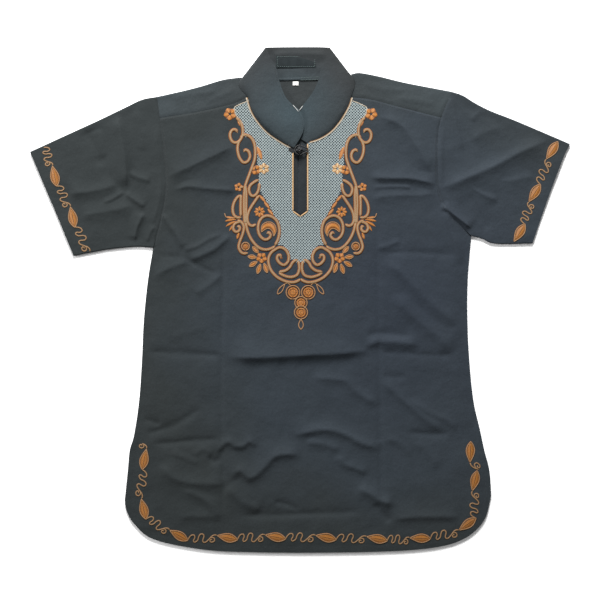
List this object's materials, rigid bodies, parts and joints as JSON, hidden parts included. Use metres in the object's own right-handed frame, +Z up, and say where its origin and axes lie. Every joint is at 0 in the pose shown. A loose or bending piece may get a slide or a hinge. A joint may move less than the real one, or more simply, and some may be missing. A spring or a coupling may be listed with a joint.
{
  "type": "embroidered shirt",
  "caption": "Short-sleeved men's shirt with a stand collar, a slit neck and embroidered borders, laid flat with its front up.",
  "frame": {"origin": "on the surface that the shirt lies on, below the middle of its outline", "axes": "+Z up out of the shirt's front, +Y towards the collar, +X towards the sleeve of the wearer's left arm"},
  "size_m": [0.8628, 0.808, 0.0123],
  "materials": {
    "black_cotton": "matt, finely woven",
    "black_cord": "matt, twisted",
    "woven_black_tape": "smooth, slightly shiny",
    "white_tape": "matt"
  },
  "bodies": {
    "root": {"front": "black_cotton", "back": "black_cotton", "yoke": "black_cotton", "sleeve_right": "black_cotton", "sleeve_left": "black_cotton", "collar": "black_cotton", "placket_right": "black_cotton", "placket_left": "black_cotton", "knot_button": "black_cord", "button_loop": "black_cord", "neck_tape": "woven_black_tape", "neck_label": "woven_black_tape", "size_tab": "white_tape"}
  },
  "joints": []
}
